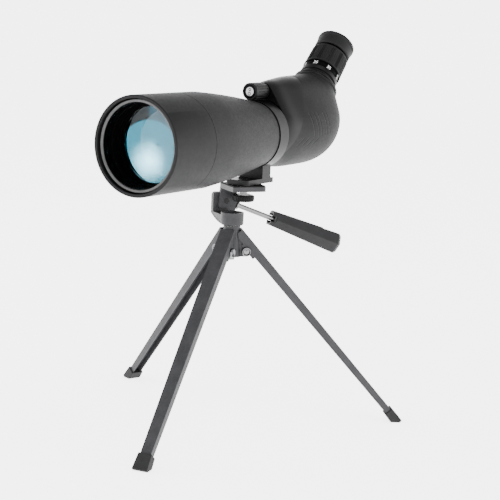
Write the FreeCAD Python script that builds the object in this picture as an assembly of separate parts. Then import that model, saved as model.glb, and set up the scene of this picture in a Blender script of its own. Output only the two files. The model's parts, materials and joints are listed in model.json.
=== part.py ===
import FreeCAD, Part
import math
import os
from FreeCAD import Placement, Rotation, Vector

# Angled spotting scope, 60 mm objective, on a folding table tripod.  Millimetres.
# The model is built about the tripod's pan axis (x = y = 0) with the floor at z = 0.
# The optical axis runs along Y at axis_height and the objective looks towards -Y.
# The last step moves everything so that the origin is the middle of the footprint.

# optical tube, places along Y
axis_height = 253.8
hood_front = -145.2
hood_length = 54.4
hood_radius = 40.0
hood_wall = 2.0
hood_travel = 30.0
lip_length = 3.0
tube_setback = 3.6
tube_radius = 35.7
tube_wall = 1.3
guide_length = 4.0
barrel_rear = 25.7
barrel_rear_radius = 28.9
barrel_straight_end = -64.0
barrel_bulge = 1.05
armour_thickness = 2.3
barrel_wall = 1.5
neck_radius = 26.5
neck_wall = 1.8
neck_rear = 48.0
lens_setback = 24.7
lens_radius = 31.2
lens_view_radius = 30.3
crown_thickness = 8.0
flint_thickness = 4.0

# collar and foot
collar_front = 26.3
collar_rear = 40.6
collar_radius = 29.7
collar_gap = 0.6
post_half_width = 12.5
foot_half_width = 11.5
foot_front = 4.0
foot_rear = 47.0
foot_bottom = 211.0
foot_thickness = 4.4
lock_knob_radius = 7.0
lock_knob_length = 9.0
lock_screw_radius = 2.0

# prism housing: one row per station along Y
# (place, bottom radius, its height over the axis, top radius, its height over the axis)
housing_front = 41.6
housing_stations = [
    (41.6, 29.3, 0.0, 9.5, 35.5),
    (58.0, 31.4, 0.6, 15.0, 32.6),
    (78.0, 33.4, 2.0, 20.0, 29.6),
    (98.0, 34.6, 3.4, 23.5, 26.8),
    (116.0, 34.2, 4.6, 24.5, 26.5),
    (131.0, 31.0, 7.5, 24.0, 26.0),
    (142.0, 24.0, 11.0, 20.0, 24.0),
    (149.5, 12.0, 14.5, 11.0, 20.0),
]
housing_wall = 2.4
cover_thickness = 1.4
front_wall = 3.4
cover_top = 97.0
cover_middle = 67.0
cover_bottom = 40.0

# eyepiece, places along its own axis from where it crosses the optical axis
eye_cross = 95.0
eye_angle = 45.0
seat_start = 50.0
seat_end = 60.5
seat_radius = 20.4
flange_radius = 21.6
flange_setback = 1.2
band_start = 63.0
scale_start = 67.6
zoom_start = 72.6
zoom_end = 94.6
zoom_radius = 18.4
cup_start = 97.4
cup_end = 111.4
cup_radius = 17.7
cup_wall = 2.2
eye_tube_radius = 15.0
eye_tube_wall = 1.4
zoom_front_middle = 66.0
zoom_rear_middle = 85.0
zoom_lens_radius = 9.5
zoom_cell_length = 7.0

# focus drive
focus_height = 37.6
focus_front = 19.6
focus_rear = 41.2
focus_radius = 7.6
focus_shaft_radius = 2.5
focus_shaft_end = 76.0
carriage_middle = 61.0
focus_lens_radius = 11.0
guide_rod_radius = 1.2
guide_rod_height = -15.5

# prism
prism_aperture = 25.0

# tripod head: t runs along the tilt pin, u across it, both level
head_turn = -35.1
cup_outer = 10.0
cup_bottom = 176.4
cup_rim = 187.5
cup_floor = 182.5
ear_inner = -25.4
ear_thickness = 5.2
ear_low_u = -8.2
ear_high_u = 13.4
ear_top = 201.5
web_top = 184.4
tilt_pin_u = 3.0
tilt_pin_height = 194.0
tilt_pin_radius = 2.5
arm_thickness = 3.2
washer_thickness = 0.4
platform_low_t = -24.8
platform_high_t = 5.6
platform_low_u = -2.6
platform_high_u = 29.8
platform_bottom = 205.5
platform_thickness = 4.3
pad_thickness = 0.9
camera_axis_t = -9.8
camera_axis_u = 13.9
camera_knob_radius = 9.65
camera_knob_bottom = 195.6
camera_knob_height = 5.4
camera_stud_radius = 3.1
camera_stud_length = 4.6

# handle
handle_slope = 20.4
handle_rod_radius = 2.2
handle_thread_radius = 1.7
handle_rod_length = 50.0
handle_visible = 36.5
grip_length = 73.0
grip_inner_width = 13.6
grip_outer_width = 20.0

# hub and legs
neck_hub_radius = 7.4
neck_hub_bottom = 168.0
hub_bottom = 149.0
hub_core_radius = 9.2
lobe_side_gap = 0.15
lobe_end_radius = 4.6
pan_bolt_radius = 2.0
pan_head_radius = 3.4
leg_count = 3
first_leg_angle = -81.5
pivot_radius = 13.0
pivot_height = 153.9
leg_spread = 41.3
leg_face_offset = 9.7
leg_top = 17.3
leg_width_top = 13.0
leg_width_foot = 9.6
leg_depth_top = 7.8
leg_depth_foot = 5.6
leg_sheet = 1.2
tab_depth = 13.6
leg_pin_radius = 1.9
leg_pin_head_radius = 4.2
leg_pin_head_height = 2.0
boot_length = 14.5
boot_wall = 1.4
boot_toe_setback = 1.2
boot_toe_thickness = 9.0

# clearances
running = 0.06
thread_fit = 0.05
air = 0.3

# worked out from the sizes above
hood_rear = hood_front + hood_length
tube_front = hood_front + tube_setback
lens_front = hood_front + lens_setback
optical_axis = Vector(0, 0, axis_height)
along_y = Vector(0, 1, 0)
up = Vector(0, 0, 1)


def turned(start, *steps):
    """Solid of revolution about Z; points are (radius, height), four numbers make an arc."""
    edges = []
    here = Vector(start[0], 0, start[1])
    first = here
    for step in steps:
        there = Vector(step[-2], 0, step[-1])
        if len(step) == 4:
            middle = Vector(step[0], 0, step[1])
            edges.append(Part.Arc(here, middle, there).toShape())
        else:
            edges.append(Part.LineSegment(here, there).toShape())
        here = there
    edges.append(Part.LineSegment(here, first).toShape())
    face = Part.Face(Part.Wire(edges))
    return face.revolve(Vector(0, 0, 0), up, 360)


def ring(inner, outer, low, high):
    return turned((inner, low), (outer, low), (outer, high), (inner, high))


def rod(radius, low, high):
    return Part.makeCylinder(radius, high - low, Vector(0, 0, low))


def dome_middle(radius, bulge):
    """Middle of a ball-shaped arc from the axis to a rim: its radius and its drop from the top."""
    ball = (radius ** 2 + bulge ** 2) / (2 * bulge)
    half_angle = math.asin(radius / ball) / 2
    return ball * math.sin(half_angle), ball * (1 - math.cos(half_angle))


def ball_lens(radius, edge_low, edge_high, low_bulge, high_bulge):
    """Lens about Z; a positive bulge curves outwards on that side."""
    low = edge_low - low_bulge
    high = edge_high + high_bulge
    low_mid, low_drop = dome_middle(radius, low_bulge)
    high_mid, high_drop = dome_middle(radius, high_bulge)
    return turned((0, low), (low_mid, low + low_drop, radius, edge_low), (radius, edge_high),
                  (high_mid, high - high_drop, 0, high))


def placed(shape, base, direction):
    """Moves a shape built about Z so that its axis runs along a direction from a base."""
    result = shape.copy()
    result.Placement = Placement(base, Rotation(up, direction))
    return result


def on_tube(shape):
    return placed(shape, optical_axis, along_y)


eye_direction = Vector(0, math.cos(math.radians(eye_angle)), math.sin(math.radians(eye_angle)))
eye_base = optical_axis + Vector(0, eye_cross, 0)


def on_eyepiece(shape):
    return placed(shape, eye_base, eye_direction)


def on_focus(shape):
    return placed(shape, optical_axis + Vector(0, 0, focus_height), along_y)


def polygon(points):
    loop = [Vector(*point) for point in points]
    return Part.Face(Part.makePolygon(loop + loop[:1]))


def side_plate(points, x_low, x_high):
    """Plate with an outline of (y, height over the axis) points, between two x places."""
    face = polygon([(x_low, y, axis_height + z) for y, z in points])
    return face.extrude(Vector(x_high - x_low, 0, 0))


def block(x_low, x_high, y_low, y_high, z_low, z_high):
    size = (x_high - x_low, y_high - y_low, z_high - z_low)
    return Part.makeBox(*size, Vector(x_low, y_low, z_low))


# ---------------------------------------------------------------- optical tube

def barrel_skin(inset):
    """Outer line of the barrel, a given depth under its surface, as turned() steps."""
    middle = (barrel_straight_end + barrel_rear) / 2
    bulge_radius = (hood_radius + barrel_rear_radius) / 2 + barrel_bulge
    return (bulge_radius - inset, middle, barrel_rear_radius - inset, barrel_rear)


def sun_hood():
    inner = hood_radius - hood_wall
    lip = tube_radius + running
    edge = hood_wall / 2
    middle = edge * (1 - math.sqrt(0.5))
    return on_tube(turned(
        (inner, hood_front + edge), (inner + middle, hood_front + middle, inner + edge, hood_front),
        (hood_radius - middle, hood_front + middle, hood_radius, hood_front + edge),
        (hood_radius, hood_rear), (lip, hood_rear), (lip, hood_rear - lip_length),
        (inner, hood_rear - lip_length)))


def hood_guide():
    start = hood_rear - lip_length - hood_travel - guide_length - air
    outer = hood_radius - hood_wall - running
    return on_tube(ring(tube_radius, outer, start, start + guide_length))


def barrel_tube():
    front = hood_rear + air
    under = hood_radius - armour_thickness
    inner = tube_radius - tube_wall
    arc = barrel_skin(armour_thickness)
    arc_in = barrel_skin(armour_thickness + barrel_wall)
    shoulder = front + 4.0
    outside = [(tube_radius, tube_front), (tube_radius, front), (under, front),
               (under, barrel_straight_end), arc, (neck_radius, barrel_rear),
               (neck_radius, neck_rear), (neck_radius - neck_wall, neck_rear),
               (neck_radius - neck_wall, barrel_rear - 1.0)]
    inside = [(arc_in[0], arc_in[1], under - barrel_wall, barrel_straight_end),
              (under - barrel_wall, shoulder + 2.0), (inner, shoulder)]
    return on_tube(turned((inner, tube_front), *outside,
                          (arc_in[2], barrel_rear - 1.0), *inside))


def barrel_armour():
    front = hood_rear + air
    under = hood_radius - armour_thickness
    outer_arc = barrel_skin(0)
    inner_arc = barrel_skin(armour_thickness)
    return on_tube(turned(
        (under, front), (hood_radius, front), (hood_radius, barrel_straight_end), outer_arc,
        (inner_arc[2], barrel_rear), (inner_arc[0], inner_arc[1], under, barrel_straight_end)))


def objective_cell():
    outer = tube_radius - tube_wall - thread_fit
    front = lens_front - 3.0
    seat = lens_front + crown_thickness + flint_thickness + 1.0
    step = lens_radius + thread_fit
    return on_tube(turned(
        (step, front), (outer, front), (outer, seat + 2.0), (lens_view_radius - 1.0, seat + 2.0),
        (lens_view_radius - 1.0, seat), (step, seat)))


def lens_retainer():
    outer = lens_radius
    front = lens_front - 2.6
    rear = lens_front - 0.4
    return on_tube(turned((lens_view_radius + 0.4, front), (outer, front), (outer, rear),
                          (lens_view_radius, rear)))


def front_baffle():
    """Stepped black cone between the tube's front edge and the lens cell."""
    outer = tube_radius - tube_wall - thread_fit
    low = tube_front + 3.0
    high = lens_front - 3.4
    middle = (low + high) / 2
    return on_tube(turned((outer - 0.7, low), (outer, low), (outer, high),
                          (lens_view_radius + 1.2, high), (lens_view_radius + 1.2, high - 2.0),
                          (outer - 1.6, middle), (outer - 0.7, middle)))


def objective_crown():
    rear = lens_front + crown_thickness
    return on_tube(ball_lens(lens_radius, lens_front + 2.6, rear - 2.6, 2.6, 2.6))


def objective_flint():
    front = lens_front + crown_thickness
    rear = front + flint_thickness
    return on_tube(ball_lens(lens_radius, front - 2.6 + running, rear - 0.6, -2.6, 0.6))


def stray_light_baffle():
    """Thin ring stop inside the barrel, clipped against its wall."""
    place = barrel_straight_end - 3.0
    outer = hood_radius - armour_thickness - barrel_wall - running
    inside = 25.0
    foot = place - 5.0
    return on_tube(turned((inside, place), (outer - 0.4, place), (outer - 0.4, foot), (outer, foot),
                          (outer, place + 1.0), (inside, place + 1.0)))


# ---------------------------------------------------------------- collar and foot

def mount_collar():
    inner = neck_radius + running
    shape = on_tube(ring(inner, collar_radius, collar_front, collar_rear))
    post = block(-post_half_width, post_half_width, collar_front + collar_gap,
                 collar_rear, foot_bottom + foot_thickness, axis_height)
    hole = placed(rod(inner + 0.5, 0, 80), optical_axis + Vector(0, 0, 0), along_y)
    post = post.cut(hole)
    plate = block(-foot_half_width, foot_half_width, foot_front, foot_rear,
                  foot_bottom, foot_bottom + foot_thickness)
    corners = [edge for edge in plate.Edges
               if abs(edge.tangentAt(0).z) > 0.9 and edge.CenterOfMass.y < foot_front + 1]
    plate = plate.makeFillet(3.0, corners)
    boss_length = collar_radius + 2.0
    boss = placed(rod(lock_screw_radius + 3.0, inner + 0.5, boss_length), lock_base(), lock_direction())
    shape = shape.fuse([post, plate, boss]).removeSplitter()
    bore = placed(rod(lock_screw_radius + running, inner - 3, boss_length + 1),
                  lock_base(), lock_direction())
    insert = rod(insert_radius(), foot_bottom - 1, foot_bottom + foot_thickness + 1)
    insert.translate(camera_axis_point())
    return shape.cut(bore).cut(insert)


def insert_radius():
    return camera_stud_radius + 1.6


def camera_axis_point():
    return head_point(camera_axis_t, camera_axis_u, 0)


def foot_insert():
    """Brass bush that takes the camera screw."""
    inner = camera_stud_radius + running
    shape = ring(inner, insert_radius(), foot_bottom, foot_bottom + foot_thickness)
    shape.translate(camera_axis_point())
    return shape


def lock_base():
    return optical_axis + Vector(0, (collar_front + collar_rear) / 2, 0)


def lock_direction():
    return Vector(-1, 0, 0)


def collar_lock_knob():
    start = collar_radius + 2.0 + air
    tip = neck_radius + 0.4
    shape = turned((0, tip), (lock_screw_radius, tip), (lock_screw_radius, start),
                   (lock_knob_radius, start), (lock_knob_radius, start + lock_knob_length - 1),
                   (lock_knob_radius - 1, start + lock_knob_length), (0, start + lock_knob_length))
    flutes = 8
    for index in range(flutes):
        angle = 2 * math.pi * index / flutes
        reach = lock_knob_radius + 1.0
        centre = Vector(reach * math.cos(angle), reach * math.sin(angle), start - 1)
        shape = shape.cut(Part.makeCylinder(1.8, lock_knob_length + 2, centre))
    return placed(shape, lock_base(), lock_direction())


# ---------------------------------------------------------------- prism housing

def egg(place, low_radius, low_height, top_radius, top_height):
    """Closed outline in a plane across Y: a large lower arc, a small top arc, two flanks."""
    lean = math.asin((low_radius - top_radius) / (top_height - low_height))
    base = axis_height

    def at(radius, height, angle):
        return Vector(radius * math.cos(angle), place, base + height + radius * math.sin(angle))

    low_right = at(low_radius, low_height, lean)
    low_left = at(low_radius, low_height, math.pi - lean)
    low_end = at(low_radius, low_height, -math.pi / 2)
    top_right = at(top_radius, top_height, lean)
    top_left = at(top_radius, top_height, math.pi - lean)
    top_end = at(top_radius, top_height, math.pi / 2)
    return Part.Wire([
        Part.Arc(low_left, low_end, low_right).toShape(),
        Part.LineSegment(low_right, top_right).toShape(),
        Part.Arc(top_right, top_end, top_left).toShape(),
        Part.LineSegment(top_left, low_left).toShape()])


def housing_body(inset):
    """Whole outer form of the housing, drawn in by an inset, cut for the eyepiece seat."""
    wires = []
    last = len(housing_stations) - 1
    for index, row in enumerate(housing_stations):
        place = row[0] - (inset if index == last else 0)
        wires.append(egg(place, row[1] - inset, row[2], row[3] - inset, row[4]))
    body = Part.makeLoft(wires, True)
    face_place = seat_start + 3.0 - inset
    cutter = on_eyepiece(Part.makeBox(140, 140, 80, Vector(-70, -70, face_place)))
    return body.cut(cutter)


def seat_boss(inset):
    """Neck that carries the eyepiece out of the housing."""
    top = seat_start + 5.0
    height = 17.0
    return on_eyepiece(Part.makeCone(flange_radius + 4.4 - inset, flange_radius - 0.8 - inset, height,
                                     Vector(0, flange_setback, top - height)))


def behind_cover_line():
    """Everything behind the curved front edge of the rubber cover."""
    high = Vector(-60, cover_top, axis_height + 70)
    middle = Vector(-60, cover_middle, axis_height + 17)
    low = Vector(-60, cover_bottom, axis_height - 17)
    corner_low = Vector(-60, cover_bottom, axis_height - 60)
    corner_back = Vector(-60, 190, axis_height - 60)
    corner_high = Vector(-60, 190, axis_height + 70)
    wire = Part.Wire([
        Part.Arc(high, middle, low).toShape(), Part.LineSegment(low, corner_low).toShape(),
        Part.LineSegment(corner_low, corner_back).toShape(),
        Part.LineSegment(corner_back, corner_high).toShape(),
        Part.LineSegment(corner_high, high).toShape()])
    return Part.Face(wire).extrude(Vector(120, 0, 0))


def prism_housing():
    rear_zone = behind_cover_line()
    full = housing_body(0)
    front_part = full.cut(rear_zone)
    core = housing_body(cover_thickness).fuse(seat_boss(cover_thickness))
    cavity = housing_body(cover_thickness + housing_wall)
    cavity = cavity.common(block(-60, 60, housing_front + front_wall, 200, 0, 400))
    shape = core.fuse(front_part)
    shape = shape.cut(cavity)
    light_path = placed(rod(neck_radius + thread_fit, housing_front - 2, neck_rear + air),
                        optical_axis, along_y)
    shaft_hole = on_focus(rod(focus_shaft_radius + running, housing_front - 2, housing_front + 8))
    eye_hole = on_eyepiece(rod(eye_tube_radius + thread_fit, seat_start - 20, seat_start + 6))
    return shape.cut(light_path).cut(shaft_hole).cut(eye_hole).removeSplitter()


def rear_cover():
    full = housing_body(0).fuse(seat_boss(0))
    core = housing_body(cover_thickness).fuse(seat_boss(cover_thickness))
    shape = full.cut(core).common(behind_cover_line())
    solids = sorted(shape.Solids, key=lambda solid: solid.Volume)
    return solids[-1]


def roof_prism():
    """Schmidt roof prism: turns the image the right way up and bends the path by 45 degrees."""
    reach = prism_aperture * 0.95
    leg = reach + prism_aperture / 2
    front = eye_cross - reach * math.tan(math.radians(eye_angle / 2))
    bisector = math.radians(eye_angle / 2)
    across = Vector(0, math.cos(bisector), math.sin(bisector))
    down = Vector(0, math.sin(bisector), -math.cos(bisector))
    apex = optical_axis + Vector(0, front, reach)
    far = leg * math.cos(bisector)
    half = prism_aperture / 2

    def at(x, depth, side):
        return apex + Vector(x, 0, 0) + down * depth + across * side

    section = Part.Face(Part.makePolygon([
        at(-half, 3, -30), at(half, 3, -30), at(half, far - half / 2, -30), at(0, far + half / 2, -30),
        at(-half, far - half / 2, -30), at(-half, 3, -30)]))
    bar = section.extrude(across * 60)
    spread = (far + half) * math.tan(bisector)
    wedge = Part.Face(Part.makePolygon([
        at(-half - 1, 0, 0), at(-half - 1, far + half, -spread), at(-half - 1, far + half, spread),
        at(-half - 1, 0, 0)])).extrude(Vector(2 * half + 2, 0, 0))
    return bar.common(wedge)


def prism_cage():
    """Two cheeks and a front ring plate that hold the prism."""
    half = prism_aperture / 2
    front = eye_cross - prism_aperture * 0.95 * math.tan(math.radians(eye_angle / 2))
    cheek = [(front - 0.2, 21), (front - 0.2, -14), (front + 14, -14), (front + 24, -4),
             (front + 22, 3)]
    left = side_plate(cheek, -half - 1.9, -half - air)
    right = side_plate(cheek, half + air, half + 1.9)
    plate = block(-half - 1.9, half + 1.9, front - 2.2, front - 0.2, axis_height - 23, axis_height + 24)
    window = placed(rod(10.5, 0, 120), optical_axis, along_y)
    foot = block(-7, 7, front - 2.2, front + 10, axis_height - 25.5, axis_height - 23)
    return plate.cut(window).fuse([left, right, foot]).removeSplitter()


# ---------------------------------------------------------------- focus drive

def focus_knob():
    collar = focus_rear - 2.0
    shape = turned((focus_shaft_radius, focus_front + 1.4), (focus_radius - 1.6, focus_front + 1.4),
                   (focus_radius - 1.6, focus_front), (focus_radius - 0.5, focus_front),
                   (focus_radius, focus_front + 0.5), (focus_radius, collar),
                   (focus_radius - 0.6, focus_rear), (focus_shaft_radius, focus_rear))
    ribs = 18
    for index in range(ribs):
        angle = 2 * math.pi * index / ribs
        reach = focus_radius + 0.25
        centre = Vector(reach * math.cos(angle), reach * math.sin(angle), focus_front + 2.5)
        shape = shape.cut(Part.makeCylinder(0.65, collar - focus_front - 3.0, centre))
    return on_focus(shape)


def focus_cap():
    return on_focus(turned((0, focus_front + 1.4), (0, focus_front + 0.2),
                           (focus_radius - 2.4, focus_front + 0.2),
                           (focus_radius - 1.7, focus_front + 0.9),
                           (focus_radius - 1.7, focus_front + 1.4)))


def focus_shaft():
    """Lead screw; a shoulder inside the housing wall keeps it in place."""
    wall = housing_front + front_wall
    shape = turned((0, focus_front + 1.4), (focus_shaft_radius, focus_front + 1.4),
                   (focus_shaft_radius, wall + 5.2), (focus_shaft_radius + 1.2, wall + 5.2),
                   (focus_shaft_radius + 1.2, wall + 6.4), (focus_shaft_radius, wall + 6.4),
                   (focus_shaft_radius, focus_shaft_end), (0, focus_shaft_end))
    return on_focus(shape)


def focus_carriage():
    """Nut, arm and ring that carry the focusing lens."""
    low = carriage_middle - 3.0
    high = carriage_middle + 3.0
    nut = on_focus(ring(focus_shaft_radius + running, 4.6, low, high))
    holder = on_tube(ring(focus_lens_radius + running, focus_lens_radius + 1.8, low, high))
    arm = block(-2.5, 2.5, low, high, axis_height + focus_lens_radius + 1.0,
                axis_height + focus_height - focus_shaft_radius - 1.0)
    lug = block(-2.4, 2.4, low, high, axis_height + guide_rod_height - 2.4,
                axis_height - focus_lens_radius - 0.9)
    shape = holder.fuse([nut, arm, lug])
    hole = placed(rod(guide_rod_radius + running, low - 5, high + 5),
                  optical_axis + Vector(0, 0, guide_rod_height), along_y)
    screw_hole = on_focus(rod(focus_shaft_radius + running, low - 2, high + 2))
    return shape.cut(hole).cut(screw_hole).removeSplitter()


def focus_lens():
    return on_tube(ball_lens(focus_lens_radius, carriage_middle - 2.2, carriage_middle + 2.2, -1.0, -0.6))


def guide_rod():
    front = neck_rear - 2.0
    rear = eye_cross - prism_aperture * 0.95 * math.tan(math.radians(eye_angle / 2)) - 2.2
    return placed(rod(guide_rod_radius, front, rear),
                  optical_axis + Vector(0, 0, guide_rod_height), along_y)


# ---------------------------------------------------------------- eyepiece

def eyepiece_seat():
    """Lower eyepiece ring with its dark undercut and the fixed band above it."""
    inner = eye_tube_radius + thread_fit
    start = seat_start + 5.0
    flange = turned((0, start), (flange_radius - 0.8, start), (flange_radius, start + 0.8),
                    (flange_radius, start + 2.6), (flange_radius - 2.0, start + 4.6), (0, start + 4.6))
    flange.translate(Vector(0, flange_setback, 0))
    band = turned((0, start), (seat_radius - 3.0, start), (seat_radius - 3.0, seat_end),
                  (zoom_radius - 2.4, seat_end), (zoom_radius - 1.6, band_start),
                  (zoom_radius - 0.2, band_start + 0.5), (zoom_radius - 0.2, scale_start - 0.5),
                  (zoom_radius - 0.7, scale_start - air), (0, scale_start - air))
    shape = flange.fuse(band).cut(rod(inner, start - 1, scale_start + 1))
    return on_eyepiece(shape.removeSplitter())


def eyepiece_tube():
    outer = eye_tube_radius
    inner = outer - eye_tube_wall
    start = seat_start - 2.0
    return on_eyepiece(turned(
        (inner, start), (outer, start), (outer, cup_end - 7.0), (inner - 1.0, cup_end - 7.0),
        (inner - 1.0, cup_end - 9.0), (inner, cup_end - 9.0)))


def scale_ring():
    inner = eye_tube_radius + 0.3
    return on_eyepiece(ring(inner, zoom_radius - 0.8, scale_start, zoom_start))


def zoom_sleeve():
    inner = eye_tube_radius + 0.3
    return on_eyepiece(turned(
        (inner, zoom_start), (zoom_radius + 0.1, zoom_start), (zoom_radius + 0.1, zoom_start + 1.2),
        (zoom_radius - 1.6, zoom_start + 1.2), (zoom_radius - 1.6, zoom_end), (inner, zoom_end)))


def zoom_grip():
    inner = zoom_radius - 1.6
    shape = turned((inner, zoom_start + 1.2), (zoom_radius, zoom_start + 1.2),
                   (zoom_radius - 0.5, zoom_end - 0.5), (zoom_radius - 1.0, zoom_end),
                   (inner, zoom_end))
    groups = 12
    for index in range(groups):
        angle = 2 * math.pi * index / groups
        reach = zoom_radius + 0.35
        centre = Vector(reach * math.cos(angle), reach * math.sin(angle), zoom_start + 2.6)
        shape = shape.cut(Part.makeCylinder(1.0, zoom_end - zoom_start - 5.0, centre))
    return on_eyepiece(shape)


def zoom_screw():
    """Small bright stop screw in the zoom ring."""
    place = zoom_start - 2.2
    side = Vector(1, 0, 0)
    head = rod(1.3, zoom_radius - 0.8, zoom_radius + 0.5)
    return placed(head, eye_base + eye_direction * place, side)


def lens_group(middle, radius, thickness):
    """Moving brass-coloured cell with its lens left out."""
    low = middle - thickness / 2
    high = middle + thickness / 2
    outer = eye_tube_radius - eye_tube_wall - running
    return on_eyepiece(turned(
        (radius + running, low), (outer, low), (outer, high), (radius - 1.0, high),
        (radius - 1.0, high - 0.8), (radius + running, high - 0.8)))


def zoom_front_cell():
    return lens_group(zoom_front_middle, zoom_lens_radius, zoom_cell_length)


def zoom_front_lens():
    return on_eyepiece(ball_lens(zoom_lens_radius, zoom_front_middle - 2.0, zoom_front_middle + 1.8, -0.8, 0.8))


def zoom_rear_cell():
    return lens_group(zoom_rear_middle, zoom_lens_radius, zoom_cell_length)


def zoom_rear_lens():
    return on_eyepiece(ball_lens(zoom_lens_radius, zoom_rear_middle - 1.6, zoom_rear_middle + 1.4, 1.0, 1.0))


def field_stop():
    outer = eye_tube_radius - eye_tube_wall - running
    return on_eyepiece(ring(8.5, outer, seat_start, seat_start + 3.0))


def eye_lens():
    outer = eye_tube_radius - eye_tube_wall - running
    high = cup_end - 9.0 - running
    return on_eyepiece(ball_lens(outer, high - 4.4, high - 1.4, 1.8, 1.2))


def eye_lens_ring():
    """Ring that carries the eyecup at the top of the tube."""
    outer = cup_radius - cup_wall
    inner = eye_tube_radius + thread_fit
    return on_eyepiece(ring(inner, outer, cup_start + 0.6, cup_end - 7.0))


def eyecup():
    inner = cup_radius - cup_wall
    return on_eyepiece(turned(
        (inner, cup_start), (cup_radius - 0.9, cup_start), (cup_radius - 0.2, cup_start + 0.8),
        (cup_radius - 0.2, cup_end - 4.0), (cup_radius + 0.5, cup_end - 3.0),
        (cup_radius + 0.5, cup_end - 1.2), (cup_radius - 0.1, cup_end - 0.1, cup_radius - 1.0, cup_end),
        (inner - 1.0, cup_end - 0.8), (inner - 2.4, cup_end - 6.9), (inner, cup_end - 6.9)))


# ---------------------------------------------------------------- tripod head

tilt_direction = Vector(math.cos(math.radians(head_turn)), math.sin(math.radians(head_turn)), 0)
cross_direction = up.cross(tilt_direction)


def head_point(t, u, z):
    return tilt_direction * t + cross_direction * u + Vector(0, 0, z)


def head_prism(points, t_low, t_high):
    """Plate whose outline is (u, z), between two places along the tilt pin."""
    loop = [head_point(t_low, u, z) for u, z in points]
    return Part.Face(Part.makePolygon(loop + loop[:1])).extrude(tilt_direction * (t_high - t_low))


def head_block(t_low, t_high, u_low, u_high, z_low, z_high):
    outline = [(u_low, z_low), (u_high, z_low), (u_high, z_high), (u_low, z_high)]
    return head_prism(outline, t_low, t_high)


def upright_edges(shape, reach):
    """Edges along the tilt pin whose middle is one of the given (u, z) corners."""
    found = []
    for edge in shape.Edges:
        middle = edge.CenterOfMass
        u = middle.dot(cross_direction)
        if abs(edge.tangentAt(edge.FirstParameter).dot(tilt_direction)) > 0.99:
            if any(abs(u - corner[0]) < 0.1 and abs(middle.z - corner[1]) < 0.1 for corner in reach):
                found.append(edge)
    return found


def handle_direction():
    slope = math.radians(handle_slope)
    return cross_direction * math.cos(slope) - Vector(0, 0, math.sin(slope))


def handle_base():
    """Middle of the tilt pin, which the handle's tip clamps."""
    return head_point(ear_inner - ear_thickness / 2, tilt_pin_u, tilt_pin_height)


def pan_cup():
    bowl = turned((0, cup_bottom), (cup_outer - 1.5, cup_bottom),
                  (cup_outer - 0.4, cup_bottom + 0.5, cup_outer, cup_bottom + 1.8),
                  (cup_outer, cup_rim), (0, cup_rim))
    outer_t = ear_inner - ear_thickness
    ear = head_block(outer_t, ear_inner, ear_low_u, ear_high_u, cup_bottom + 4.0, ear_top)
    corners = [(ear_low_u, ear_top), (ear_high_u, ear_top)]
    ear = ear.makeFillet(3.0, upright_edges(ear, corners))
    low_corners = [(ear_low_u, cup_bottom + 4.0), (ear_high_u, cup_bottom + 4.0)]
    ear = ear.makeFillet(6.0, upright_edges(ear, low_corners))
    web_low = head_point(outer_t, 0, cup_bottom + 6.5)
    web_bend = head_point(outer_t * 0.62, 0, cup_bottom + 2.3)
    web_in = head_point(-4.0, 0, cup_bottom)
    web_in_top = head_point(-4.0, 0, web_top)
    web_high = head_point(outer_t, 0, web_top)
    web_face = Part.Face(Part.Wire([
        Part.Arc(web_low, web_bend, web_in).toShape(), Part.LineSegment(web_in, web_in_top).toShape(),
        Part.LineSegment(web_in_top, web_high).toShape(),
        Part.LineSegment(web_high, web_low).toShape()]))
    half_web = -ear_low_u
    web = web_face.extrude(cross_direction * half_web).fuse(
        web_face.extrude(cross_direction * -half_web)).removeSplitter()
    boss = placed(rod(handle_rod_radius + 1.7, tilt_pin_radius + 1.0, handle_socket_end()),
                  handle_base(), handle_direction())
    boss = boss.common(head_block(outer_t, ear_inner, -20, 40, 150, 230))
    shape = bowl.fuse([ear, web, boss])
    recess = turned((0, cup_floor), (cup_outer - 1.9, cup_floor), (cup_outer - 1.9, cup_rim + 1),
                    (0, cup_rim + 1))
    bolt_hole = rod(pan_bolt_radius + running, cup_bottom - 1, cup_floor + 1)
    pin_hole = placed(rod(tilt_pin_radius + thread_fit, -1, ear_thickness + 2),
                      head_point(ear_inner - ear_thickness - 1, tilt_pin_u, tilt_pin_height),
                      tilt_direction)
    rod_hole = placed(rod(handle_thread_radius + running, 0, 40), handle_base(), handle_direction())
    return shape.cut(recess).cut(bolt_hole).cut(pin_hole).cut(rod_hole).removeSplitter()


def handle_socket_end():
    return (ear_high_u - tilt_pin_u) / math.cos(math.radians(handle_slope)) + 1.2


def pan_bolt():
    """Slotted bolt that holds the cup down on the hub."""
    head_top = cup_floor + 3.4
    bulge = 0.8
    middle, drop = dome_middle(pan_head_radius, bulge)
    tail = hub_bottom - 3.4
    shape = turned((0, tail), (pan_bolt_radius, tail), (pan_bolt_radius, cup_floor),
                   (pan_head_radius, cup_floor), (pan_head_radius, head_top - bulge),
                   (middle, head_top - drop, 0, head_top))
    slot = block(-pan_head_radius - 1, pan_head_radius + 1, -0.5, 0.5, head_top - 1.3, head_top + 1)
    return shape.cut(slot)


def pan_spring_washer():
    return ring(pan_bolt_radius + air, 4.2, hub_bottom - 0.9, hub_bottom)


def pan_nut():
    size = 3.9
    low = hub_bottom - 3.1
    points = [Vector(size * math.cos(math.radians(60 * k)), size * math.sin(math.radians(60 * k)), low)
              for k in range(6)]
    face = Part.Face(Part.makePolygon(points + points[:1]))
    nut = face.extrude(Vector(0, 0, 2.2))
    return nut.cut(rod(pan_bolt_radius + thread_fit, low - 1, low + 4))


def friction_washer():
    return ring(pan_bolt_radius + air, neck_hub_radius - 0.4, cup_bottom - washer_thickness, cup_bottom)


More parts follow.
